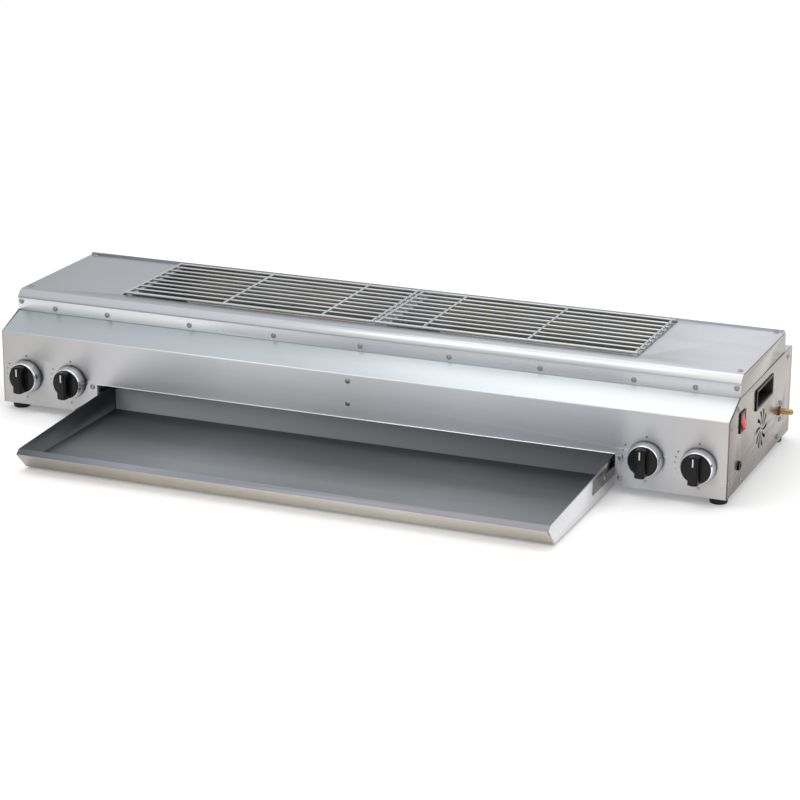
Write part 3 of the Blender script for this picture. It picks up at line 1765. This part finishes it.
@dataclass(frozen=True)
class Softbox:
    """A rectangular area lamp: its place, the point it faces, its size and its watts."""

    name: str
    place: Point
    aim: Point
    size: Pair
    watts: float

    def build(self) -> None:
        """Make the lamp."""
        data = bpy.data.lights.new(self.name, "AREA")
        data.shape = "RECTANGLE"
        data.size, data.size_y = self.size
        data.energy = self.watts
        lamp = linked(self.name, data)
        lamp.location = self.place
        lamp.rotation_mode = "QUATERNION"
        way = Vector(self.aim) - Vector(self.place)
        lamp.rotation_quaternion = way.to_track_quat("-Z", "Y")


@dataclass
class Studio:
    """Camera, lamps, world and floor of the picture."""

    # From the pinhole fit: viewpoint, the picture's right and up, lens and film in millimetres
    place: Point = (1.53639, -3.72640, 1.32194)
    right: Point = (0.921915, 0.387379, 0.003023)
    up: Point = (-0.120259, 0.278767, 0.952799)
    lens: float = 119.972
    sensor: float = 36.0
    shift_x: float = 0.03
    far: float = 60.0
    lamps: tuple[Softbox, ...] = (
        Softbox("overhead_softbox", (-0.15, -0.75, 2.1), (0.0, -0.1, 0.1), (1.5, 1.0), 7.5),
        Softbox("slope_softbox", (0.0, 0.95, 2.1), (0.1, -0.1, 0.1), (1.3, 0.9), 4.0),
        Softbox("side_softbox", (2.6, 0.4, 1.2), (0.5, 0.0, 0.1), (1.2, 1.2), 4.0),
    )
    # Low black cards round the stage, out of the picture, which edge bright metal with dark
    card_h: float = 0.9
    cards: tuple[tuple[float, float, float, float], ...] = (
        (-6.0, 5.0, 6.0, 5.0),
        (-6.0, -5.0, -6.0, 5.0),
        (6.0, -5.0, 6.0, 5.0),
        (-6.0, -5.0, 6.0, -5.0),
    )
    floor_half: float = 14.0
    # Light that the floor adds where it is seen, and the surround's level for diffuse rays
    floor_lift: float = 0.22
    world_fill: float = 0.85

    def camera(self) -> None:
        """Make the camera at the photograph's viewpoint."""
        data = bpy.data.cameras.new("camera")
        data.sensor_width = self.sensor
        data.lens = self.lens
        data.shift_x = self.shift_x
        data.clip_end = self.far
        camera = linked("camera", data)
        x, y = Vector(self.right).normalized(), Vector(self.up).normalized()
        turn = Matrix((x, y, x.cross(y))).transposed().to_4x4()
        camera.matrix_world = Matrix.Translation(self.place) @ turn
        bpy.context.scene.camera = camera

    def seen_directly(self, graph: Graph) -> Socket:
        """Value 1 for camera, glossy and transmission rays, 0 for diffuse ones.

        Args:
            graph: Tree that gets the nodes.

        Returns:
            The value socket.
        """
        path = add_node(graph.tree, "ShaderNodeLightPath").outputs
        seen = path["Is Camera Ray"]
        for label in ("Is Glossy Ray", "Is Transmission Ray"):
            seen = graph.add("ShaderNodeMath", {"operation": "MAXIMUM", 0: seen, 1: path[label]})
        return seen

    def world(self) -> None:
        """Make a white surround that lights the grill at a plain level."""
        world = bpy.data.worlds.new("studio")
        world.use_nodes = True
        graph = Graph(world.node_tree)
        level = {**ends((0.0, 1.0), (self.world_fill, 1.0)), "Value": self.seen_directly(graph)}
        strength = graph.add("ShaderNodeMapRange", level)
        sky = graph.add("ShaderNodeBackground", {"Color": WHITE, "Strength": strength})
        add_node(graph.tree, "ShaderNodeOutputWorld", {"Surface": sky})
        bpy.context.scene.world = world

    def floor(self) -> None:
        """Make the pale floor, white to the camera, that keeps the shadow."""
        material = bpy.data.materials.new("matt_white_paper")
        material.use_nodes = True
        graph = Graph(material.node_tree)
        paper = graph.add("ShaderNodeBsdfDiffuse", {"Color": linear("#F6F6F6")})
        lift = {"operation": "MULTIPLY", 0: self.seen_directly(graph), 1: self.floor_lift}
        glow = {"Color": WHITE, "Strength": graph.add("ShaderNodeMath", lift)}
        lamp = graph.add("ShaderNodeEmission", glow)
        both = graph.add("ShaderNodeAddShader", {0: paper, 1: lamp})
        add_node(graph.tree, "ShaderNodeOutputMaterial", {"Surface": both})
        h = self.floor_half
        staged("floor", [(-h, -h, 0), (h, -h, 0), (h, h, 0), (-h, h, 0)], material)

    def black_cards(self) -> None:
        """Make the low black cards, which only reflections see."""
        look = Finish("black_studio_card", "#141414", roughness=0.9, grain=0.02).build()
        top = self.card_h
        for index, (ax, ay, bx, by) in enumerate(self.cards, 1):
            corners = [(ax, ay, 0.0), (bx, by, 0.0), (bx, by, top), (ax, ay, top)]
            card = staged(f"card_{index}", corners, look)
            card.visible_camera = card.visible_diffuse = card.visible_shadow = False

    def build(self) -> None:
        """Set up the picture."""
        bpy.context.scene.view_settings.view_transform = "Standard"
        self.camera()
        for lamp in self.lamps:
            lamp.build()
        self.world()
        self.floor()
        self.black_cards()


def main() -> None:
    """Build the sub-assemblies in order."""
    logging.basicConfig(level=logging.INFO, format="%(name)s: %(message)s")
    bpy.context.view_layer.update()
    shop = Shop(Finishes())
    kinds = (Casing, Firebox, Grates, DripTray, Knobs, RightEnd, GasLine, Feet, Screws)
    for part in (Studio(), *(kind(shop) for kind in kinds)):
        part.build()
        LOG.info("built %s", type(part).__name__)


if __name__ == "__main__":
    main()
